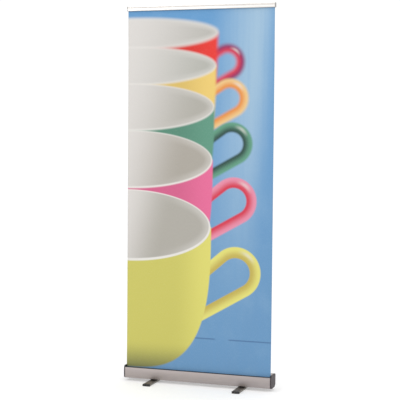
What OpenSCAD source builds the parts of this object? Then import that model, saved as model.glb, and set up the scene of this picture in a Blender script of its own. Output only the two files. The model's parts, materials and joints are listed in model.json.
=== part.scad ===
// Roll-up banner stand: a spring roller in a floor housing, a telescopic pole behind the graphic
// and a snap rail along its top edge. X runs along the width, the front faces -Y and +Z is up.
// The origin is on the floor, at the centre of the housing.

/* [Graphic] */
// Width of the printed graphic
graphic_w = 850; // [600:10:1000]
// Height of the graphic that shows between the housing and the top rail
graphic_h = 2012; // [1800:1:2100]
// Thickness of the graphic sheet
graphic_t = 0.6; // [0.4:0.1:0.8]
// Distance of the graphic in front of the middle of the housing
graphic_front = 24.6; // [24:0.1:26]

/* [Housing] */
// Depth of the housing from front to back
housing_d = 96; // [94:1:104]
// Height of the underside of the housing above the floor
housing_floor = 14; // [14:0.5:18]
// Height of the upper edge of the front face above the floor
lip_z = 77; // [76:1:80]
// Height of the crown of the housing above the floor
crown_z = 88; // [87:1:92]
// Wall thickness of the housing extrusion
wall = 1.8; // [1.4:0.1:2.2]
// Thickness of each moulded end plate
end_plate_t = 5; // [4:0.5:7]
// Thickness of the skin of each end cover
end_cover_t = 2.5; // [2:0.5:4]

/* [Roller] */
// Outer radius of the roller tube
roller_r = 13; // [12:0.5:13]
// Height of the roller's centre above the floor
roller_z = 52; // [50:1:54]
// Radius of the fixed axle
axle_r = 3; // [2.5:0.5:3.5]
// Radius of the spring wire
spring_wire_r = 1.3; // [0.8:0.1:1.4]
// Number of turns of the torsion spring
spring_turns = 60; // [20:1:100]

/* [Pole] */
// Outer radius of the lower tube
pole_r = 11; // [10.5:0.5:11]
// Wall thickness of each tube
pole_wall = 1; // [0.8:0.1:1]
// Length of each of the three tubes
pole_tube_l = 738; // [680:1:760]
// Distance of the pole behind the middle of the housing
pole_back = 21; // [21:0.5:23]
// Length of each twist lock
lock_l = 42; // [30:1:50]

/* [Top rail] */
// Height of the top rail
rail_h = 25; // [24:1:32]
// Depth of the top rail from front to back
rail_d = 20; // [19:1:22]
// Thickness of each rail end cap
rail_cap_t = 3.6; // [3:0.1:8]

/* [Feet] */
// Overall length of a foot
foot_l = 300; // [260:2:320]
// Width of a foot
foot_w = 42; // [36:1:46]
// Height of the top of a foot above the floor
foot_top = 11; // [10:0.5:11]
// Distance of each foot's pivot from the middle of the housing
foot_x = 260; // [170:1:270]

/* [Hidden] */
$fn = 72;

// Fits
play = 0.3;
running = 0.05;
seat = 0.1;

// Colours
silver = [0.72, 0.70, 0.69];
grey = [0.55, 0.52, 0.52];
black = [0.10, 0.10, 0.11];
steel = [0.62, 0.63, 0.65];
white_metal = [0.93, 0.92, 0.91];
print_blue = [0.45, 0.66, 0.83];

// Housing: its outline is drawn looking along -X, as points of depth and height
front_y = -housing_d / 2;
back_y = housing_d / 2;
face_low_z = 20;
face_mid_z = (face_low_z + lip_z) / 2;
face_edge = 2.5;
face_bow_r = 160;
housing_l = graphic_w + 3;
plate_x = housing_l / 2;
cover_x = plate_x + end_plate_t;
lip_depth = 9;
lip_t = 2.4;
mouth_y = -14;
mouth_drop = 9;
port_r = 3.8;
screw_r = 1.55;
lip_end = front_y + face_edge + lip_depth;
port_spots = [[front_y + 7.2, 24.6], [back_y - 5, 33], [back_y - 5, 78]];

// Graphic and roller
graphic_y = -graphic_front;
graphic_low = roller_z + 2;
slot_z = lip_z + 5;
wrap_t = 0.48;
roller_y = graphic_y + graphic_t / 2 + play + wrap_t + roller_r;
roller_wall = 1.2;
roller_l = graphic_w;
plug_l = 22;
spring_r = axle_r + spring_wire_r + 0.6;

// Pole: three tubes, each sliding in the one below
middle_r = pole_r - pole_wall - 0.5;
upper_r = middle_r - pole_wall - 0.5;
bush_l = 30;
tube_overlap = 70;
pole_bottom = housing_floor + wall + 7.5;
lower_top = pole_bottom + pole_tube_l;
middle_bottom = lower_top - tube_overlap;
middle_top = middle_bottom + pole_tube_l;
upper_bottom = middle_top - tube_overlap;
lock_r = 15.5;
lock_grip = 22;
socket_r = pole_r + 1.9;
collar_r = pole_r + 4;

// Top rail
rail_z = slot_z + graphic_h;
rail_top = rail_z + rail_h;
rail_half = graphic_w / 2 + 0.8;
rail_back_y = graphic_y + 11;
rail_front_y = rail_back_y - rail_d;
rail_wall = 1.5;
rail_web_y = graphic_y + 2.1;
groove_w = 4.4;
grip_h = 14;
bead_r = 1.8;
bead_y = rail_front_y + 3.6;
bead_z = rail_top - 5.2;
flap_t = 1.4;
hook_w = 24;
upper_top = rail_z - 8;

// Feet
foot_half = foot_l / 2;
foot_cap_l = 11;
foot_bar_half = foot_half - foot_cap_l;
foot_low = 1;
foot_deck = 2.5;
foot_side = 2;
bolt_r = 3;
bolt_head_r = 6;
bolt_head_h = 4;
spacer_r = 14;
washer_t = 0.8;
nut_h = 5;
nut_across = 11.5;

// Points of the arc that rounds corner b between neighbours a and c
function unit(v) = v / norm(v);
function turn(a) = a > 180 ? a - 360 : (a < -180 ? a + 360 : a);
function corner(a, b, c, r, n) =
  r == 0 ? [b] :
  let (
    u = unit(a - b),
    v = unit(c - b),
    half = acos(u * v) / 2,
    centre = b + unit(u + v) * r / sin(half),
    first = b + u * r / tan(half) - centre,
    last = b + v * r / tan(half) - centre,
    a0 = atan2(first.y, first.x),
    sweep = turn(atan2(last.y, last.x) - a0)
  )
  [for (k = [0:n]) centre + r * [cos(a0 + sweep * k / n), sin(a0 + sweep * k / n)]];

// Closed outline through corners given as [x, y, radius]
function rounded(path, n = 8) = [
  for (i = [0:len(path) - 1])
    let (
      p = path[i],
      before = path[(i + len(path) - 1) % len(path)],
      after = path[(i + 1) % len(path)]
    )
    each corner([before.x, before.y], [p.x, p.y], [after.x, after.y], p.z, n)
];

// Outline of the housing, moved inwards by inset
function housing_outline(inset = 0) = rounded([
  [front_y + face_edge + inset, face_low_z + inset, 1.5],
  [front_y - 2 + inset, face_mid_z, face_bow_r - inset],
  [front_y + face_edge + inset, lip_z, 1.5],
  [front_y + 7 + inset, crown_z - inset, 12 - inset],
  [back_y - inset, crown_z - inset, 12 - inset],
  [back_y - inset, housing_floor + 9 + inset, 13 - inset],
  [28, housing_floor + inset, 14],
  [-30, housing_floor + inset, 20]
]);

// Extrudes a depth-and-height outline along X, from x0 to x1
module along_x(x0, x1) {
  translate([x0, 0, 0])
    rotate([90, 0, 90])
      linear_extrude(x1 - x0)
        children();
}

// Turned part whose axis is X, through the roller's centre
module on_roller_axis(x0) {
  translate([x0, roller_y, roller_z])
    rotate([0, 90, 0])
      children();
}

// Puts a part of the right end at the right, or its mirror image at the left
module at_end(side) {
  mirror([side < 0 ? 1 : 0, 0, 0])
    children();
}

// Places a part on the pole's axis
module on_pole(z) {
  translate([0, pole_back, z])
    children();
}

module ring(outer, inner, h) {
  difference() {
    cylinder(r = outer, h = h);
    translate([0, 0, -1])
      cylinder(r = inner, h = h + 2);
  }
}

// Wall of the housing, open along the mouth
module housing_shell() {
  difference() {
    polygon(housing_outline());
    polygon(housing_outline(wall));
    translate([front_y - 10, lip_z])
      square([mouth_y - front_y + 10, 60]);
  }
}

module base_housing() {
  color(silver)
    difference() {
      union() {
        along_x(-plate_x, plate_x)
          housing_shell();
        // Inward lip along the front edge of the mouth
        along_x(-plate_x, plate_x)
          translate([front_y + face_edge, lip_z - lip_t])
            square([lip_depth, lip_t]);
        // Lip turned down along the rear edge of the mouth
        along_x(-plate_x, plate_x)
          translate([mouth_y, crown_z - wall - mouth_drop])
            square([wall, mouth_drop + wall / 2]);
        // Screw ports
        for (p = port_spots)
          along_x(-plate_x, plate_x)
            translate(p)
              circle(port_r);
      }
      for (p = port_spots)
        along_x(-plate_x - 1, plate_x + 1)
          translate(p)
            circle(screw_r + running);
      on_pole(crown_z - 30)
        cylinder(r = collar_r + seat, h = 60);
      for (side = [-1, 1])
        translate([side * foot_x, 0, 0])
          cylinder(r = bolt_r + seat, h = housing_floor + 10);
    }
}

// The part of the housing's outline that the rim of an end cover wraps
module rim_zone(back) {
  translate([front_y - 10, 0])
    square([10 + face_edge + back, lip_z]);
}

module end_plate(side) {
  color(black)
    at_end(side)
      difference() {
        along_x(plate_x, cover_x)
          difference() {
            polygon(housing_outline());
            rim_zone(1);
            for (p = port_spots)
              translate(p)
                circle(screw_r + seat);
            translate([roller_y, roller_z])
              circle(axle_r + running);
            for (z = [40, 64])
              translate([back_y - 14, z])
                circle(2 + running);
          }
        for (p = port_spots)
          translate([cover_x - 2.2, p.x, p.y])
            rotate([0, 90, 0])
              cylinder(r = 3.4, h = 4);
      }
}

module end_cover(side) {
  color(grey)
    at_end(side) {
      along_x(cover_x, cover_x + end_cover_t - 0.8)
        polygon(housing_outline());
      along_x(cover_x + end_cover_t - 0.8, cover_x + end_cover_t)
        polygon(housing_outline(0.8));
      along_x(plate_x, cover_x)
        intersection() {
          polygon(housing_outline());
          rim_zone(0.8);
        }
      for (z = [40, 64])
        translate([cover_x - 4, back_y - 14, z])
          rotate([0, 90, 0])
            cylinder(r = 2, h = 4.5);
    }
}

module end_plate_screws() {
  color(steel)
    for (side = [-1, 1])
      at_end(side)
        for (p = port_spots)
          translate([0, p.x, p.y])
            rotate([0, 90, 0]) {
              translate([0, 0, cover_x - 14])
                cylinder(r = screw_r, h = 12);
              translate([0, 0, cover_x - 2.2])
                difference() {
                  cylinder(r = 3, h = 2);
                  translate([-2.2, -0.4, 1.2])
                    cube([4.4, 0.8, 2]);
                }
            }
}

// Black strip that grips the front lip and guides the graphic
module slot_trim_front() {
  color(black)
    along_x(-plate_x + play, plate_x - play)
      polygon(rounded([
        [lip_end - 3, lip_z, 0],
        [lip_end - 3, lip_z + 1.6, 0.7],
        [graphic_y - 3, lip_z + 2, 2],
        [graphic_y - 3, lip_z - 7.5, 0.8],
        [lip_end - 1.5, lip_z - 7.5, 0.8],
        [lip_end - 1.5, lip_z - lip_t, 0],
        [lip_end, lip_z - lip_t, 0],
        [lip_end, lip_z, 0]
      ], 5));
}

// Felt strip on the rear edge of the mouth, just behind the graphic
module slot_trim_rear() {
  felt_top = crown_z - 3.5;
  color(black)
    along_x(-plate_x + play, plate_x - play)
      polygon(rounded([
        [mouth_y, felt_top - 8, 0],
        [mouth_y, felt_top, 0],
        [graphic_y + 3.4, felt_top, 2],
        [graphic_y + 1.3, felt_top - 4, 0.8],
        [graphic_y + 3, felt_top - 8, 1]
      ], 5));
}

module roller_axle() {
  color(steel)
    on_roller_axis(-cover_x + 0.4)
      cylinder(r = axle_r, h = 2 * cover_x - 0.8);
}

module roller_spring() {
  pitch = 2 * spring_wire_r * 0.96;
  color(steel)
    on_roller_axis(-spring_turns * pitch - 60)
      rotate_extrude()
        for (i = [0:spring_turns - 1])
          translate([spring_r, i * pitch])
            circle(r = spring_wire_r, $fn = 24);
}

module roller_tube() {
  color(silver)
    on_roller_axis(-roller_l / 2)
      difference() {
        ring(roller_r, roller_r - roller_wall, roller_l);
        // Groove that keys the edge of the leader
        translate([roller_r - 0.5, -1, -1])
          cube([2, 2, roller_l + 2]);
      }
}

module roller_plug(side) {
  color(black)
    at_end(side)
      on_roller_axis(roller_l / 2 - plug_l) {
        ring(roller_r - roller_wall - seat, axle_r + running, plug_l);
        translate([0, 0, plug_l])
          ring(axle_r + 3, axle_r + running, 1);
      }
}

module leader_wrap() {
  color("white")
    on_roller_axis(-roller_l / 2)
      ring(roller_r + wrap_t, roller_r + 0.02, roller_l);
}

module banner() {
  color(print_blue)
    translate([-graphic_w / 2, graphic_y - graphic_t / 2, graphic_low])
      cube([graphic_w, graphic_t, rail_z + grip_h - graphic_low]);
}

module pole_socket() {
  shoulder_z = crown_z - 16;
  socket_low = pole_bottom - 3;
  flange_z = crown_z + 0.05;
  color(black)
    on_pole(0)
      difference() {
        union() {
          translate([0, 0, socket_low])
            cylinder(r1 = socket_r - 2, r2 = socket_r, h = 2.5);
          translate([0, 0, socket_low + 2.5])
            cylinder(r = socket_r, h = shoulder_z - socket_low - 1.5);
          translate([0, 0, shoulder_z])
            cylinder(r = collar_r, h = 17);
          // Flange over the hole in the crown, with a chamfered edge
          translate([0, 0, flange_z])
            cylinder(r = collar_r + 3, h = 1.8);
          translate([0, 0, flange_z + 1.8])
            cylinder(r1 = collar_r + 3, r2 = collar_r + 1.5, h = 1.5);
        }
        translate([0, 0, pole_bottom])
          cylinder(r = pole_r + running, h = 200);
      }
}

module pole_lower() {
  color(silver)
    on_pole(pole_bottom)
      ring(pole_r, pole_r - pole_wall, pole_tube_l);
}

module pole_lower_plug() {
  color(black)
    on_pole(pole_bottom + 0.2)
      cylinder(r = pole_r - pole_wall - running, h = 12);
}

// Twist lock: a ribbed grip that turns on the tube below it and closes on the tube inside it
module lock(tube_r, inner_r, top_z) {
  ribs = 16;
  color(black)
    on_pole(top_z - lock_grip)
      difference() {
        union() {
          cylinder(r1 = lock_r - 1.5, r2 = lock_r, h = 3);
          translate([0, 0, 3])
            cylinder(r = lock_r, h = lock_l - 8);
          translate([0, 0, lock_l - 5])
            cylinder(r1 = lock_r, r2 = inner_r + 2.5, h = 5);
        }
        translate([0, 0, -1])
          cylinder(r = tube_r + running, h = lock_grip + 2);
        cylinder(r = inner_r + running, h = lock_l + 1);
        for (i = [0:ribs - 1])
          rotate(i * 360 / ribs)
            translate([lock_r + 0.9, 0, 6])
              cylinder(r = 1.7, h = lock_l - 15, $fn = 24);
      }
}

module lock_lower() {
  lock(pole_r, middle_r, lower_top);
}

module lock_upper() {
  lock(middle_r, upper_r, middle_top);
}

module pole_middle() {
  color(silver)
    on_pole(middle_bottom)
      ring(middle_r, middle_r - pole_wall, pole_tube_l);
}

module pole_upper() {
  color(silver)
    on_pole(upper_bottom)
      ring(upper_r, upper_r - pole_wall, upper_top - upper_bottom);
}

// Guide bush round the foot of a sliding tube
module bush(tube_r, outer_r, z) {
  color(black)
    on_pole(z) {
      ring(outer_r, tube_r + 0.01, bush_l);
      translate([0, 0, -3])
        ring(outer_r, tube_r - pole_wall, 3);
    }
}

module pole_middle_bush() {
  bush(middle_r, pole_r - pole_wall - running, middle_bottom);
}

module pole_upper_bush() {
  bush(upper_r, middle_r - pole_wall - running, upper_bottom);
}

module pole_hook() {
  arm_z = rail_z - 9;
  arm_h = 9;
  finger_y = rail_web_y + rail_wall + (rail_back_y - rail_web_y - 2 * rail_wall) / 2;
  color(black) {
    // Head on the tube, with the stub that fits inside it
    on_pole(upper_top - 16)
      ring(upper_r + 2.5, upper_r + 0.02, 16);
    on_pole(upper_top)
      cylinder(r = upper_r + 2.5, h = 4);
    on_pole(upper_top - 24)
      cylinder(r = upper_r - pole_wall - running, h = 24.5);
    // Arm under the rail and the finger that stands in its groove
    translate([-hook_w / 2, finger_y - 3, arm_z])
      cube([hook_w, pole_back - finger_y + 3 - upper_r, arm_h]);
    translate([-hook_w / 2, finger_y - 1.6, arm_z])
      cube([hook_w, 3.2, arm_h + 12]);
    for (x = [-hook_w / 2, hook_w / 2 - 3])
      translate([x, 0, 0])
        along_x(0, 3)
          polygon([
            [pole_back - upper_r, arm_z + 1],
            [finger_y + 2, arm_z + 1],
            [pole_back - upper_r, arm_z - 12]
          ]);
  }
}

module rail_back() {
  groove_y = rail_web_y + (rail_back_y - rail_web_y - groove_w) / 2;
  color(white_metal)
    along_x(-rail_half, rail_half)
      difference() {
        union() {
          polygon(rounded([
            [rail_web_y, rail_z, 0],
            [rail_back_y, rail_z, 1],
            [rail_back_y, rail_top, 1],
            [rail_web_y, rail_top, 0]
          ]));
          // Roof that reaches forward over the hinge
          translate([bead_y, rail_top - 2])
            square([rail_web_y - bead_y + 1, 2]);
          translate([bead_y, bead_z])
            circle(bead_r + 1.5);
          translate([bead_y - 1.2, bead_z])
            square([2.4, rail_top - bead_z]);
        }
        // Hollow above the hook's groove
        translate([rail_web_y + rail_wall, rail_z + rail_wall])
          square([rail_back_y - rail_web_y - 2 * rail_wall, rail_h - 2 * rail_wall]);
        translate([groove_y, rail_z - 1])
          square([groove_w, rail_wall + 2]);
        // Seat of the flap's bead, open towards the front and below
        translate([bead_y, bead_z])
          circle(bead_r + running);
        translate([bead_y, bead_z])
          polygon([[0, 0], [3, -8], [-9, -8], [-9, 0]]);
      }
}

// Flap that closes over the edge of the graphic and turns on the bead along its top
module rail_front() {
  face_y = rail_front_y + 0.9;
  leaf_y = face_y + flap_t;
  jaw_y = graphic_y - graphic_t / 2 - play - 0.2;
  shelf_z = bead_z - 3;
  low_z = rail_z + 0.2;
  color(white_metal)
    union() {
      along_x(-rail_half, rail_half)
        translate([bead_y, bead_z])
          circle(bead_r);
      // Neck that leaves the seat through its opening
      along_x(-rail_half, rail_half)
        translate([bead_y, bead_z])
          polygon([[-0.8, -0.6], [0.4, -0.9], [-0.5, -4.4], [-1.9, -4.4]]);
      along_x(-rail_half, rail_half)
        polygon(rounded([
          [face_y, shelf_z, 0.6],
          [rail_front_y - 0.8, (low_z + shelf_z) / 2, 32],
          [face_y, low_z, 0.6],
          [jaw_y, low_z, 0.5],
          [jaw_y, low_z + 3, 0.5],
          [leaf_y, low_z + flap_t, 0],
          [leaf_y, shelf_z - flap_t, 0],
          [bead_y, shelf_z - flap_t, 0],
          [bead_y, shelf_z, 0]
        ], 6));
    }
}

module rail_grip() {
  color("white")
    along_x(-rail_half + 1, rail_half - 1)
      translate([graphic_y + graphic_t / 2 + play, rail_z + 1])
        square([rail_web_y - graphic_y - graphic_t / 2 - play, grip_h]);
}

module rail_cap(side) {
  color(grey)
    at_end(side)
      along_x(rail_half, rail_half + rail_cap_t)
        polygon(rounded([
          [rail_front_y - 0.2, rail_z, 2],
          [rail_back_y, rail_z, 1],
          [rail_back_y, rail_top, 1],
          [rail_front_y - 0.2, rail_top, 2.6]
        ], 6));
}

module foot(side) {
  grooves = 5;
  color(silver)
    translate([side * foot_x, 0, 0])
      difference() {
        translate([0, foot_bar_half, 0])
          rotate([90, 0, 0])
            linear_extrude(2 * foot_bar_half)
              difference() {
                polygon(rounded([
                  [-foot_w / 2, foot_low, 0.5],
                  [foot_w / 2, foot_low, 0.5],
                  [foot_w / 2, foot_top, 1.5],
                  [-foot_w / 2, foot_top, 1.5]
                ], 5));
                translate([-foot_w / 2 + foot_side, foot_low - 1])
                  square([foot_w - 2 * foot_side, foot_top - foot_deck - foot_low + 1]);
                for (i = [0:grooves - 1])
                  translate([(i - (grooves - 1) / 2) * 6.4 - 1, foot_top - 0.6])
                    square([2, 2]);
              }
        cylinder(r = bolt_r + running, h = foot_top + 5);
      }
}

module foot_cap(side, end) {
  r = 4;
  color(black)
    translate([side * foot_x, 0, 0])
      mirror([0, end > 0 ? 0 : 1, 0])
        difference() {
          union() {
            linear_extrude(foot_top + 0.3)
              polygon(rounded([
                [-foot_w / 2 - 0.3, foot_bar_half, 0],
                [foot_w / 2 + 0.3, foot_bar_half, 0],
                [foot_w / 2 + 0.3, foot_half, r],
                [-foot_w / 2 - 0.3, foot_half, r]
              ], 6));
            // Tongue inside the channel of the bar
            translate([-foot_w / 2 + foot_side + seat, foot_bar_half - 12, 1.2])
              cube([foot_w - 2 * foot_side - 2 * seat, 12.5, foot_top - foot_deck - 1.2 - seat]);
          }
          // Moulded ridges across the tip
          for (x = [-12, 0, 12])
            translate([x - 4, foot_half - 0.6, 2.4])
              cube([8, 2, foot_top - 4.8]);
        }
}

module at_pivots(z) {
  for (side = [-1, 1])
    translate([side * foot_x, 0, z])
      children();
}

module foot_spacers() {
  color(black)
    at_pivots(foot_top + play)
      ring(spacer_r, bolt_r + seat, housing_floor - foot_top - play);
}

module pivot_bolts() {
  head_z = foot_top - foot_deck - play - bolt_head_h;
  color(steel)
    at_pivots(head_z)
      difference() {
        union() {
          cylinder(r = bolt_head_r, h = bolt_head_h);
          cylinder(r = bolt_r, h = housing_floor + wall + nut_h + 2 * washer_t + 1 - head_z);
        }
        translate([0, 0, -1])
          cylinder(r = 2.3, h = 3, $fn = 6);
      }
}

module pivot_washers() {
  color(steel)
    at_pivots(housing_floor + wall)
      ring(8, bolt_r + seat, washer_t);
}

module pivot_nuts() {
  color(steel)
    at_pivots(housing_floor + wall + washer_t)
      difference() {
        cylinder(r = nut_across / 2, h = nut_h, $fn = 6);
        translate([0, 0, -1])
          cylinder(r = bolt_r + seat, h = nut_h + 2);
      }
}

base_housing();
end_plate(-1);  // end_plate_left
end_plate(1);  // end_plate_right
end_cover(-1);  // end_cover_left
end_cover(1);  // end_cover_right
end_plate_screws();
slot_trim_front();
slot_trim_rear();
roller_axle();
roller_spring();
roller_tube();
roller_plug(-1);  // roller_plug_left
roller_plug(1);  // roller_plug_right
leader_wrap();
banner();
pole_socket();
pole_lower();
pole_lower_plug();
lock_lower();
pole_middle();
pole_middle_bush();
lock_upper();
pole_upper();
pole_upper_bush();
pole_hook();
rail_back();
rail_front();
rail_grip();
rail_cap(-1);  // rail_cap_left
rail_cap(1);  // rail_cap_right
foot(-1);  // foot_left
foot(1);  // foot_right
foot_cap(-1, -1);  // foot_cap_left_front
foot_cap(-1, 1);  // foot_cap_left_rear
foot_cap(1, -1);  // foot_cap_right_front
foot_cap(1, 1);  // foot_cap_right_rear
foot_spacers();
pivot_bolts();
pivot_washers();
pivot_nuts();
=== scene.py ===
"""Roll-up banner stand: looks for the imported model, in metres, in its own frame."""
import json
import math

import bpy
from mathutils import Matrix, Vector


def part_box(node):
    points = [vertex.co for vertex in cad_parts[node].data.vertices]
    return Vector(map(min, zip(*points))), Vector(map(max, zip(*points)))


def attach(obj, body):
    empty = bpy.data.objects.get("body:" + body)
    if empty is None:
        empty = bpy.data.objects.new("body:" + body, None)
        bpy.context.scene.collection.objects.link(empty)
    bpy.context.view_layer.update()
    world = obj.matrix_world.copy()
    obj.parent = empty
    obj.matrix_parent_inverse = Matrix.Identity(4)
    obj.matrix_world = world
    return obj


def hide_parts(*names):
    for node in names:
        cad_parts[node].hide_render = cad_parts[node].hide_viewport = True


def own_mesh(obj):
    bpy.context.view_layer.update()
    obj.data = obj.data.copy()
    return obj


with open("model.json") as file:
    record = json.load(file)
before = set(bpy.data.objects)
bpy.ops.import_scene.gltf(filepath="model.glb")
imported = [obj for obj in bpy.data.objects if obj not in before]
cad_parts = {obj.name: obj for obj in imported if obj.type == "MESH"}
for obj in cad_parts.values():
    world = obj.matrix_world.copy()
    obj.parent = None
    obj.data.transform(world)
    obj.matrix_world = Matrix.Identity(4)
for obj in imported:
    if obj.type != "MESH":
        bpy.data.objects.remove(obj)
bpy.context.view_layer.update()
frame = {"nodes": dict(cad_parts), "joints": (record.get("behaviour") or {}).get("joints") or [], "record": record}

MM = 0.001
NODES = frame["nodes"]


# ---------------------------------------------------------------- node tree helpers

class Value:
    """A number inside a material's node tree, so that a pattern reads as a plain formula."""

    def __init__(self, tree, socket):
        self.tree = tree
        self.socket = socket

    def math(self, operation, *others, clamp=False):
        """The result of one Math node over this number and the others."""
        return math_node(self.tree, operation, (self, *others), clamp)

    def __add__(self, other):
        return self.math("ADD", other)

    def __sub__(self, other):
        return self.math("SUBTRACT", other)

    def __rsub__(self, other):
        return math_node(self.tree, "SUBTRACT", (other, self))

    def __mul__(self, other):
        return self.math("MULTIPLY", other)

    def __truediv__(self, other):
        return self.math("DIVIDE", other)

    def __abs__(self):
        return self.math("ABSOLUTE")

    def __pow__(self, other):
        return self.math("POWER", other)


def plug(tree, socket, value):
    """Links a Value or socket to a socket, or writes a plain number or colour into it."""
    if isinstance(value, Value):
        tree.links.new(value.socket, socket)
    elif isinstance(value, bpy.types.NodeSocket):
        tree.links.new(value, socket)
    else:
        socket.default_value = value


def math_node(tree, operation, values, clamp=False):
    """The result of one Math node over some values or plain numbers."""
    node = tree.nodes.new("ShaderNodeMath")
    node.operation = operation
    node.use_clamp = clamp
    for socket, value in zip(node.inputs, values):
        plug(tree, socket, value)
    return Value(tree, node.outputs[0])


def linear(rgb):
    """A display colour of 0 to 255 a channel, as a linear colour with full opacity."""
    def decode(c):
        c = c / 255
        return c / 12.92 if c <= 0.04045 else ((c + 0.055) / 1.055) ** 2.4
    return tuple(decode(c) for c in rgb) + (1.0,)


def scaled(rgb, factor, lift=0):
    """A display colour that is made darker or paler, as a linear colour."""
    return linear([min(255, c * factor + lift) for c in rgb])


def ramp(value, low, high, start=0.0, end=1.0):
    """Smooth step from start at low to end at high."""
    node = value.tree.nodes.new("ShaderNodeMapRange")
    node.interpolation_type = "SMOOTHSTEP"
    for socket, number in zip(node.inputs, (value, low, high, start, end)):
        plug(value.tree, socket, number)
    return Value(value.tree, node.outputs[0])


def mix(tree, share, a, b):
    """Colour a where share is 0 and b where it is 1."""
    node = tree.nodes.new("ShaderNodeMix")
    node.data_type = "RGBA"
    plug(tree, node.inputs[0], share)
    plug(tree, node.inputs[6], a)
    plug(tree, node.inputs[7], b)
    return node.outputs[2]


def pair(x, y):
    """The vector (x, y, 0)."""
    node = x.tree.nodes.new("ShaderNodeCombineXYZ")
    plug(x.tree, node.inputs[0], x)
    plug(x.tree, node.inputs[1], y)
    return node.outputs[0]


def length_of(x, y):
    """Length of the vector (x, y)."""
    norm = x.tree.nodes.new("ShaderNodeVectorMath")
    norm.operation = "LENGTH"
    plug(x.tree, norm.inputs[0], pair(x, y))
    return Value(x.tree, norm.outputs["Value"])


def ellipse_distance(x, y, half_width, half_height):
    """Distance outside an ellipse, close to the true one near its outline."""
    near = length_of(x / half_width, y / half_height)
    slope = length_of(x / half_width ** 2, y / half_height ** 2)
    never_zero = 0.001
    return near * (near - 1.0) / (slope + never_zero)


def noise_at(tree, place, detail, roughness=0.5):
    """Noise with about one wave for each unit of the place."""
    node = tree.nodes.new("ShaderNodeTexNoise")
    node.inputs["Scale"].default_value = 1.0
    node.inputs["Detail"].default_value = detail
    node.inputs["Roughness"].default_value = roughness
    plug(tree, node.inputs["Vector"], place)
    return Value(tree, node.outputs[0])


def printed_noise(u, v, waves_u, waves_v, detail=3.0):
    """Noise that belongs to the print, so it travels with it."""
    return noise_at(u.tree, pair(u * waves_u, v * waves_v), detail)


class Surface:
    """One Principled material, with the object's own coordinates in metres."""

    def __init__(self, name, colour, roughness, metallic=0.0):
        self.material = bpy.data.materials.new(name)
        self.material.use_nodes = True
        self.tree = self.material.node_tree
        self.shader = self.tree.nodes["Principled BSDF"]
        self.shader.inputs["Base Color"].default_value = colour
        self.shader.inputs["Roughness"].default_value = roughness
        self.shader.inputs["Metallic"].default_value = metallic
        self.place = self.tree.nodes.new("ShaderNodeTexCoord").outputs["Object"]

    def xyz(self):
        """The three coordinates of a point."""
        node = self.tree.nodes.new("ShaderNodeSeparateXYZ")
        self.tree.links.new(self.place, node.inputs[0])
        return [Value(self.tree, socket) for socket in node.outputs]

    def noise(self, per_metre, detail=3.0, roughness=0.55):
        """Noise whose number of waves a metre may differ along X, Y and Z."""
        scale = self.tree.nodes.new("ShaderNodeMapping")
        plug(self.tree, scale.inputs["Vector"], self.place)
        scale.inputs["Scale"].default_value = per_metre
        return noise_at(self.tree, scale.outputs[0], detail, roughness)

    def cells(self, per_metre):
        """Distance to the middle of the nearest of many small cells."""
        node = self.tree.nodes.new("ShaderNodeTexVoronoi")
        node.inputs["Scale"].default_value = per_metre
        self.tree.links.new(self.place, node.inputs["Vector"])
        return Value(self.tree, node.outputs["Distance"])

    def tint(self, share, other):
        """Turns the base colour towards other where share is high."""
        base = self.shader.inputs["Base Color"]
        now = base.links[0].from_socket if base.is_linked else tuple(base.default_value)
        self.tree.links.new(mix(self.tree, share, now, other), base)

    def rough(self, value):
        """Takes the roughness from a pattern."""
        plug(self.tree, self.shader.inputs["Roughness"], value)

    def edges(self, radius):
        """Rounded edges in the normal, and how much each point lies on an edge."""
        bevel = self.tree.nodes.new("ShaderNodeBevel")
        bevel.samples = 4
        bevel.inputs["Radius"].default_value = radius
        turn_starts, turn_ends = 0.995, 0.90
        flat = self.tree.nodes.new("ShaderNodeNewGeometry").outputs["True Normal"]
        dot = self.tree.nodes.new("ShaderNodeVectorMath")
        dot.operation = "DOT_PRODUCT"
        self.tree.links.new(bevel.outputs[0], dot.inputs[0])
        self.tree.links.new(flat, dot.inputs[1])
        return bevel.outputs[0], ramp(Value(self.tree, dot.outputs["Value"]), turn_starts, turn_ends)

    def bump(self, height, distance, normal=None):
        """Relief whose height of 1 stands this distance proud, over rounded edges if given."""
        node = self.tree.nodes.new("ShaderNodeBump")
        node.inputs["Strength"].default_value = 1.0
        node.inputs["Distance"].default_value = distance
        plug(self.tree, node.inputs["Height"], height)
        if normal is not None:
            self.tree.links.new(normal, node.inputs["Normal"])
        self.tree.links.new(node.outputs[0], self.shader.inputs["Normal"])


# ---------------------------------------------------------------- materials

EDGE_WEAR_AND_HIGHLIGHT_METAL = (236, 232, 228)
BRIGHT_ZINC = (235, 235, 236)
ZINC_FILM = (196, 186, 150)
FELT_FIBRES = (70, 70, 74)
HANDLED_FILM = (205, 204, 200)
BACK_CLOTH = (206, 207, 209)
BACK_YARN = (188, 189, 192)
BLACK = (0.0, 0.0, 0.0, 1.0)
WHITE = (1.0, 1.0, 1.0, 1.0)
THREADS_PER_METRE = 900


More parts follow.
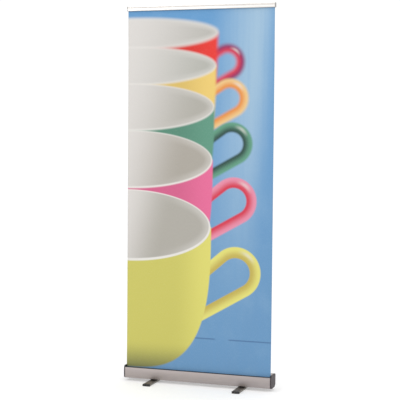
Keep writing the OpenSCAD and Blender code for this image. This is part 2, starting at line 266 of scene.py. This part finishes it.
def drawn_metal(name, rgb, roughness, along="X", spread=0.10):
    """Extruded or drawn metal, with fine lines along one axis and brighter edges, part wear and part painted
    highlight.
    """
    coarse, fine = 3.0, 1500.0
    per_metre = {"X": (coarse, fine, fine), "Y": (fine, coarse, fine), "Z": (fine, fine, coarse)}[along]
    surface = Surface(name, linear(rgb), roughness, metallic=1.0)
    lines = surface.noise(per_metre, detail=2.0)
    cloud = surface.noise((9.0, 22.0, 22.0), detail=4.0)
    surface.tint(ramp(lines, 0.30, 0.75, 0.0, 0.28), scaled(rgb, 0.78))
    surface.tint(ramp(cloud, 0.35, 0.75, 0.0, 0.22), scaled(rgb, 0.88))
    rounded, edge = surface.edges(0.5 * MM)
    # Brighter edges: wear and a painted highlight.
    surface.tint(edge * 0.5, linear(EDGE_WEAR_AND_HIGHLIGHT_METAL))
    surface.rough(lines * spread + cloud * (spread * 0.6) + (roughness - spread * 0.8))
    surface.bump(lines, 0.02 * MM, normal=rounded)
    return surface.material


def moulded_plastic(name, rgb, roughness=0.5, dust_wear_and_highlight=1.25, gloss=0.5):
    """Moulded plastic with a fine leathery grain, dust in the open areas and paler edges, part wear and part
    painted highlight.
    """
    surface = Surface(name, linear(rgb), roughness)
    surface.shader.inputs["Specular IOR Level"].default_value = gloss
    grains = surface.cells(1400.0)
    cloud = surface.noise((45.0, 45.0, 45.0), detail=4.0)
    paler = scaled(rgb, dust_wear_and_highlight, lift=14)
    surface.tint(ramp(cloud, 0.40, 0.80, 0.0, 0.16), paler)
    rounded, edge = surface.edges(0.6 * MM)
    # Paler edges: wear and a painted highlight.
    surface.tint(edge * 0.45, paler)
    surface.rough(grains * 0.10 + cloud * 0.12 + (roughness - 0.08))
    surface.bump(grains, 0.03 * MM, normal=rounded)
    return surface.material


def zinc_steel(name, rgb, roughness):
    """Zinc-plated steel: a mottled crystal pattern with a slightly warm film."""
    surface = Surface(name, linear(rgb), roughness, metallic=1.0)
    crystals = surface.cells(420.0)
    film = surface.noise((120.0, 120.0, 120.0), detail=4.0)
    surface.tint(ramp(film, 0.45, 0.75, 0.0, 0.35), linear(ZINC_FILM))
    surface.tint(ramp(crystals, 0.1, 0.7, 0.0, 0.25), scaled(rgb, 0.75))
    rounded, edge = surface.edges(0.3 * MM)
    # Brighter edges: worn zinc and a painted highlight.
    surface.tint(edge * 0.4, linear(BRIGHT_ZINC))
    surface.rough(film * 0.2 + (roughness - 0.1))
    surface.bump(crystals, 0.02 * MM, normal=rounded)
    return surface.material


def felt(name, rgb):
    """Short pile of tangled fibres."""
    surface = Surface(name, linear(rgb), 0.95)
    pile = surface.noise((1800.0, 700.0, 1800.0), detail=5.0, roughness=0.7)
    surface.tint(ramp(pile, 0.40, 0.75, 0.0, 0.6), linear(FELT_FIBRES))
    surface.shader.inputs["Sheen Weight"].default_value = 0.4
    surface.bump(pile, 0.4 * MM)
    return surface.material


def leader_film(name, rgb):
    """Smooth milky film with faint handling marks along the roller."""
    surface = Surface(name, linear(rgb), 0.32)
    marks = surface.noise((6.0, 300.0, 300.0), detail=3.0)
    surface.tint(ramp(marks, 0.5, 0.8, 0.0, 0.35), linear(HANDLED_FILM))
    surface.rough(marks * 0.25 + 0.2)
    surface.bump(marks, 0.03 * MM)
    return surface.material


def soft_rubber(name, rgb, roughness):
    """Matt rubber with scuffs and a dusty bloom."""
    surface = Surface(name, linear(rgb), roughness)
    scuffs = surface.noise((260.0, 60.0, 260.0), detail=5.0, roughness=0.65)
    grains = surface.cells(1700.0)
    surface.tint(ramp(scuffs, 0.52, 0.78, 0.0, 0.45), scaled(rgb, 1.6, lift=22))
    rounded, edge = surface.edges(0.7 * MM)
    # Paler edges: wear and a painted highlight.
    surface.tint(edge * 0.35, scaled(rgb, 1.6, lift=30))
    surface.rough(scuffs * 0.2 + (roughness - 0.1))
    surface.bump(grains, 0.05 * MM, normal=rounded)
    return surface.material


# ---------------------------------------------------------------- printed picture

# A still life: a row of plain cups that stand one behind another on a blue board. Each entry has the
# colours of a cup's outside, of its bowl, and of the inner and outer edge of its handle, from the
# nearest cup to the furthest. On the print, u is metres to the right from its left edge, and v is
# metres down from the rail.
CUP_COLOURS = [
    ((212, 206, 106), (183, 179, 170), (204, 184, 92), (236, 230, 126)),
    ((220, 102, 145), (180, 174, 164), (222, 62, 84), (240, 150, 176)),
    ((90, 144, 122), (184, 181, 172), (50, 82, 74), (104, 164, 136)),
    ((226, 194, 108), (186, 186, 178), (240, 150, 72), (246, 206, 142)),
    ((220, 52, 44), (187, 185, 178), (226, 66, 88), (150, 44, 100)),
]
SKY_TOP = (106, 162, 212)
SKY_LOW = (112, 159, 202)
SKY_LIGHT = (168, 200, 225)
BOARD_GAP = (52, 84, 130)
LIP = (240, 237, 232)
LIT = (228, 224, 220)
# A cup's outside is a quarter of a rounded box with this power, between an ellipse's 2 and a box.
BOWL_POWER = 3.0
# Share of black that mutes the whole print, and the share of painted shadow on the print just under the rail.
INK = 0.22
RAIL_SHADOW_INK = 0.47


def place_cup(steps, colours):
    """Sizes of the cup that stands this many steps behind the nearest one, in metres on the print.
    Every step makes the cups a little smaller, higher up and more blurred. A handle wraps two
    circles: its loop at the top and its tail lower down, nearer the cup."""
    body, inside, inner, outer = colours
    shrink, flatten = 0.90 ** steps, 0.81 ** steps
    nearest_drop, first_rise, rise_shrink = 1.200, 0.372, 0.785
    rim_drop = nearest_drop - first_rise * (1 - rise_shrink ** steps) / (1 - rise_shrink)
    loop = (0.642 - 0.014 * steps, rim_drop + 0.250 * shrink)
    tail = (loop[0] - 0.240 * flatten ** 0.7, loop[1] + 0.170 * flatten)
    return {
        "rim": (0.006 * steps, rim_drop),
        "reach": (0.485 + 0.004 * steps, 0.193 * flatten),
        "depth": 0.815 - 0.045 * steps,
        "lip": 0.010 * 0.75 ** steps,
        "blur": 0.004 * 1.45 ** steps,
        "light": 0.24 + 0.10 * steps,
        "loop": (loop, 0.113 * shrink),
        "tail": (tail, 0.086 - 0.003 * steps),
        "band": 0.031 * 0.93 ** steps,
        "body": body,
        "inside": inside,
        "handle": (inner, outer),
    }


def backdrop(u, v):
    """Brushed and worn blue, with a soft bright column on the right that fades towards the bottom."""
    slant, foot_of_glow = 0.07, 1.90
    drift = u + v * slant
    column = ramp(drift, 0.46, 0.78) * ramp(drift, 0.90, 0.76, 0.10, 1.0)
    glow = column * ramp(v, foot_of_glow, 0.30)
    sky = mix(u.tree, ramp(v, 0.0, foot_of_glow), linear(SKY_TOP), linear(SKY_LOW))
    sky = mix(u.tree, glow, sky, linear(SKY_LIGHT))
    brushed = ramp(printed_noise(u, v, 45.0, 1.6), 0.40, 0.80, 0.0, 0.16)
    worn = ramp(printed_noise(u, v, 9.0, 6.0, detail=5.0), 0.45, 0.80, 0.0, 0.14)
    sky = mix(u.tree, brushed, sky, linear(SKY_TOP))
    return mix(u.tree, worn, sky, linear(SKY_LIGHT))


def table_gap(u, v, colour):
    """Thin gap between two boards of the table, with a break in it."""
    gap_v, break_u = 1.826, 0.566
    across = ramp(abs(v - gap_v), 0.006, 0.001)
    broken = ramp(abs(u - break_u), 0.030, 0.050)
    return mix(u.tree, across * broken * 0.5, colour, linear(BOARD_GAP))


def loop_distance(u, v, cup):
    """Distance outside the outline that wraps the two circles of a handle. The nearest point of the
    line between their centres, slanted for the taper, says which radius counts."""
    (x1, y1), r1 = cup["loop"]
    (x2, y2), r2 = cup["tail"]
    span = math.hypot(x2 - x1, y2 - y1)
    ax, ay = (x2 - x1) / span, (y2 - y1) / span
    taper = (r1 - r2) / span
    slope = math.sqrt(1 - taper * taper)
    along = (u - x1) * ax + (v - y1) * ay
    across = abs((v - y1) * ax - (u - x1) * ay)
    share = (along * slope - across * taper).math("DIVIDE", slope * span, clamp=True)
    return length_of(across, along - share * span) - (share * (r2 - r1) + r1)


def cup_handle(u, v, cup, colour):
    """A round bar bent into a loop, with a highlight at the upper right."""
    gap = loop_distance(u, v, cup)
    inner, outer = cup["handle"]
    half, soft = cup["band"], cup["blur"]
    paint = mix(u.tree, ramp(gap, -half * 0.8, half * 0.8), linear(inner), linear(outer))
    (x, y), radius = cup["loop"]
    near = length_of(u - (x + radius * 0.60), v - (y - radius * 0.80))
    shine = ramp(near, radius * 0.60, 0.0) * ramp(abs(gap - half * 0.25), half * 0.6, 0.0) * 0.55
    paint = mix(u.tree, shine, paint, linear(LIP))
    return mix(u.tree, ramp(abs(gap), half + soft, half - soft), colour, paint)


def cup_body(u, v, cup, colour):
    """The outside of a cup below its rim, brighter at the right and darker underneath."""
    (cx, cy), half_width, soft = cup["rim"], cup["reach"][0], cup["blur"]
    wide = half_width + 1.4 * cup["lip"]
    out = (u - cx).math("MAXIMUM", 0.0) / wide
    down = (v - cy).math("MAXIMUM", 0.0) / cup["depth"]
    reach = (out ** BOWL_POWER + down ** BOWL_POWER) ** (1 / BOWL_POWER)
    bright = scaled(cup["body"], 1.06, lift=6)
    dark = linear([c * 0.55 + sky * 0.12 for c, sky in zip(cup["body"], SKY_LOW)])
    shade = mix(u.tree, ramp(out, 0.55, 0.98), linear(cup["body"]), bright)
    shade = mix(u.tree, ramp(down, 0.80, 1.03), shade, dark)
    covered = ramp(reach, 1 + soft / wide, 1 - soft / wide) * ramp(v, cy - soft, cy + soft)
    return mix(u.tree, covered, colour, shade)


def cup_bowl(u, v, cup, colour):
    """The pale lip and the inside of the bowl, lit from the left."""
    (cx, cy), (rx, ry) = cup["rim"], cup["reach"]
    soft, lip = cup["blur"], cup["lip"]
    rim = ellipse_distance(u - cx, v - cy - lip * 0.4, rx + lip, ry + lip)
    colour = mix(u.tree, ramp(rim, soft, -soft), colour, linear(LIP))
    inner = ellipse_distance(u - cx, v - cy, rx, ry)
    lit = ramp(u + (v - cy) * 0.25, -0.06, cup["light"])
    paint = mix(u.tree, lit, linear(LIT), linear(cup["inside"]))
    glow = ramp(inner, -0.05, 0.0) * ramp(u, 0.15, 0.45) * 0.35
    paint = mix(u.tree, glow, paint, linear(LIP))
    return mix(u.tree, ramp(inner, soft, -soft), colour, paint)


def plain_weave(x, z):
    """Height of threads that pass over and under each other."""
    turns = math.tau * THREADS_PER_METRE
    return (x * turns).math("SINE") * (z * turns).math("SINE")


def printed_fabric(name, left, low, top):
    """Printed cloth. The picture hangs from the rail: the point shown at a height is as far from the rail's edge
    as it is on the cloth."""
    surface = Surface(name, linear(SKY_TOP), 0.62)
    x, _, z = surface.xyz()
    node = surface.tree.nodes.new("ShaderNodeAttribute")
    node.attribute_name = "rest_height"
    rest = Value(surface.tree, node.outputs["Fac"])
    u = x - left
    v = (z - low) / rest * ((top - low) - rest)
    colour = table_gap(u, v, backdrop(u, v))
    for steps, colours in reversed(list(enumerate(CUP_COLOURS))):
        cup = place_cup(steps, colours)
        colour = cup_handle(u, v, cup, colour)
        colour = cup_body(u, v, cup, colour)
        colour = cup_bowl(u, v, cup, colour)
    surface.tree.links.new(colour, surface.shader.inputs["Base Color"])
    # Painted shadow: the print turns darker over the last few millimetres under the rail.
    surface.tint(ramp(v, 0.007, 0.001, INK, RAIL_SHADOW_INK), BLACK)
    slub = surface.noise((520.0, 1.0, 90.0), detail=3.0)
    surface.tint(ramp(slub, 0.45, 0.8, 0.0, 0.05), WHITE)
    surface.shader.inputs["Sheen Weight"].default_value = 0.03
    surface.shader.inputs["Specular IOR Level"].default_value = 0.2
    surface.rough(slub * 0.12 + 0.56)
    surface.bump(plain_weave(x, z) * 0.3 + slub, 0.02 * MM)
    return surface.material


def backing_fabric(name):
    """The unprinted grey back of the cloth."""
    surface = Surface(name, linear(BACK_CLOTH), 0.7)
    x, _, z = surface.xyz()
    slub = surface.noise((420.0, 1.0, 60.0), detail=4.0)
    surface.tint(ramp(slub, 0.40, 0.75, 0.0, 0.3), linear(BACK_YARN))
    surface.rough(slub * 0.15 + 0.6)
    surface.bump(plain_weave(x, z) * 0.3 + slub, 0.03 * MM)
    return surface.material


# ---------------------------------------------------------------- pieces

def crowded_edges(share):
    """Spreads columns over the width, closer together near the two edges, where the cloth curls."""
    return share - 0.10 * math.sin(math.tau * share) / math.tau


def cloth_bulge(x, z, half_width, slot_top, rail_low):
    """How far the cloth stands back from flat: a faint roll and curled edges, none where it is held."""
    from_rail, from_slot, curl_width = 0.35, 0.30, 0.022
    held = min(1.0, max(0.0, (rail_low - z) / from_rail)) * min(1.0, max(0.0, (z - slot_top) / from_slot))
    held = held * held * (3 - 2 * held)
    edge = max(0.0, (abs(x) - (half_width - curl_width)) / curl_width)
    roll = 0.9 * MM * math.sin(x * 5.1 + 0.8) * math.sin(z * 2.3 + 0.4)
    ripple = 0.35 * MM * math.sin(x * 13.0 + z * 1.7)
    return held * (roll + ripple + 3.2 * MM * edge * edge)


def thin_sheet(name, across, up, front_point, back_point):
    """A closed sheet of across by up faces a side. Its front has the first material, and its back and
    the rim around it have the second."""
    row = across + 1
    layer = row * (up + 1)
    verts = [point(i, j) for point in (front_point, back_point) for j in range(up + 1) for i in range(row)]
    faces, kinds = [], []
    for j in range(up):
        for i in range(across):
            a = j * row + i
            b = a + 1
            faces.append((a, b, b + row, a + row))
            kinds.append(0)
            faces.append((a + layer, a + row + layer, b + row + layer, b + layer))
            kinds.append(1)
    ring = list(range(row))
    ring += [j * row + across for j in range(1, up + 1)]
    ring += [up * row + i for i in range(across - 1, -1, -1)]
    ring += [j * row for j in range(up - 1, 0, -1)]
    for a, b in zip(ring, ring[1:] + ring[:1]):
        faces.append((b, a, a + layer, b + layer))
        kinds.append(1)
    mesh = bpy.data.meshes.new(name)
    mesh.from_pydata(verts, [], faces)
    mesh.polygons.foreach_set("material_index", kinds)
    mesh.polygons.foreach_set("use_smooth", [True] * len(faces))
    return mesh


def make_banner():
    """The graphic as a thin cloth, flat where the rail and the housing hold it."""
    lowest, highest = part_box("banner")
    rail_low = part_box("rail_back")[0].z
    slot_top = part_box("slot_trim_rear")[1].z
    middle_y = (lowest.y + highest.y) / 2
    width, height = highest.x - lowest.x, highest.z - lowest.z
    half_t = 0.25 * MM
    across, up = 110, 220

    def cloth_point(side, i, j):
        x = lowest.x + width * crowded_edges(i / across)
        z = lowest.z + height * j / up
        y = middle_y + cloth_bulge(x, z, width / 2, slot_top, rail_low)
        return (x, y + side * half_t, z)

    mesh = thin_sheet("printed_banner", across, up,
                      front_point=lambda i, j: cloth_point(-1, i, j),
                      back_point=lambda i, j: cloth_point(1, i, j))
    heights = mesh.attributes.new("rest_height", "FLOAT", "POINT")
    heights.data.foreach_set("value", [vertex.co.z - lowest.z for vertex in mesh.vertices])
    mesh.materials.append(printed_fabric("printed_fabric", lowest.x, lowest.z, rail_low))
    mesh.materials.append(backing_fabric("fabric_back"))
    mesh.update()
    banner = bpy.data.objects.new("printed_banner", mesh)
    bpy.context.scene.collection.objects.link(banner)
    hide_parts("banner")
    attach(banner, "base")
    slide = next(j for j in frame["joints"] if j["name"] == "rail_slide")
    travel = slide["range_m"][1]
    1 - travel / height
    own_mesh(banner)


# ---------------------------------------------------------------- the CAD nodes' materials

def paint_nodes():
    """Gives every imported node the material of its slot."""
    finishes = {
        "brushed_aluminium": drawn_metal("brushed_aluminium", (172, 163, 161), 0.42),
        "mill_aluminium": drawn_metal("mill_aluminium", (196, 195, 196), 0.35),
        "anodised_tube": drawn_metal("anodised_tube", (186, 187, 190), 0.34, along="Z"),
        "bright_aluminium": drawn_metal("bright_aluminium", (228, 224, 220), 0.30, spread=0.06),
        "foot_aluminium": drawn_metal("foot_aluminium", (140, 136, 128), 0.45, along="Y"),
        "spring_steel": drawn_metal("spring_steel", (120, 122, 126), 0.38, along="X"),
        "zinc_steel": zinc_steel("zinc_steel", (188, 190, 194), 0.35),
        "grey_plastic": moulded_plastic("grey_plastic", (64, 57, 60), 0.5, gloss=0.25),
        "light_grey_plastic": moulded_plastic("light_grey_plastic", (152, 150, 147), 0.5, dust_wear_and_highlight=1.1),
        "black_plastic": moulded_plastic("black_plastic", (34, 34, 36), 0.48),
        "black_felt": felt("black_felt", (26, 26, 28)),
        "leader_film": leader_film("leader_film", (236, 235, 232)),
        "grip_rubber": soft_rubber("grip_rubber", (210, 209, 205), 0.7),
        "foot_rubber": soft_rubber("foot_rubber", (36, 36, 38), 0.72),
    }
    for part in frame["record"]["subparts"]:
        finish = finishes.get(part["material_slot"])
        if finish is not None:
            mesh = NODES[part["node"]].data
            mesh.materials.clear()
            mesh.materials.append(finish)


# ---------------------------------------------------------------- camera, light and floor

CAMERA_PLACE = (1.974, -5.966, 1.400)
CAMERA_TURN = 18.31
CAMERA_DOWN = 3.27
CAMERA_ROLL = 0.47


def make_camera():
    """A long lens at the front right, a little above the banner's middle, turned left and down."""
    data = bpy.data.cameras.new("camera")
    data.lens = 101.5
    data.sensor_width = 36.0
    camera = bpy.data.objects.new("camera", data)
    bpy.context.scene.collection.objects.link(camera)
    turn = Matrix.Rotation(math.radians(CAMERA_TURN), 4, "Z")
    tilt = Matrix.Rotation(math.radians(90 - CAMERA_DOWN), 4, "X")
    roll = Matrix.Rotation(math.radians(CAMERA_ROLL), 4, "Z")
    camera.matrix_world = Matrix.Translation(CAMERA_PLACE) @ turn @ tilt @ roll
    data.clip_end = 100.0
    bpy.context.scene.camera = camera


def area_light(name, place, target, size, power):
    """A rectangular light of some metres, aimed at a point, with its power in watts."""
    data = bpy.data.lights.new(name, "AREA")
    data.shape = "RECTANGLE"
    data.size, data.size_y = size
    data.energy = power
    light = bpy.data.objects.new(name, data)
    bpy.context.scene.collection.objects.link(light)
    aim = (Vector(target) - Vector(place)).to_track_quat("-Z", "Y")
    light.matrix_world = Matrix.Translation(place) @ aim.to_matrix().to_4x4()


def make_floor():
    """A wide sheet of pale paper that glows a little, so that the shadows on it stay soft."""
    reach = 30.0
    mesh = bpy.data.meshes.new("floor")
    mesh.from_pydata([(-reach, -reach, 0), (reach, -reach, 0), (reach, reach, 0), (-reach, reach, 0)],
                     [], [(0, 1, 2, 3)])
    surface = Surface("floor_paper", linear((216, 216, 216)), 0.9)
    fibre = surface.noise((60.0, 60.0, 60.0), detail=3.0)
    surface.tint(ramp(fibre, 0.4, 0.7, 0.0, 0.2), linear((212, 212, 212)))
    surface.shader.inputs["Emission Color"].default_value = WHITE
    surface.shader.inputs["Emission Strength"].default_value = 0.3
    mesh.materials.append(surface.material)
    floor = bpy.data.objects.new("floor", mesh)
    bpy.context.scene.collection.objects.link(floor)


def make_studio():
    """White surroundings, a large soft light at the front left and another overhead."""
    world = bpy.data.worlds.new("studio")
    world.use_nodes = True
    background = world.node_tree.nodes["Background"]
    background.inputs["Color"].default_value = WHITE
    background.inputs["Strength"].default_value = 1.06
    bpy.context.scene.world = world
    middle = (0, 0, 1.0)
    area_light("key", (-3.5, -6.5, 3.0), middle, (3.0, 3.0), 60)
    area_light("top", (0.6, -1.5, 5.2), middle, (3.0, 2.0), 25)
    make_floor()
    bpy.context.scene.view_settings.view_transform = "Standard"


make_camera()
make_studio()
paint_nodes()
make_banner()

bpy.context.view_layer.update()
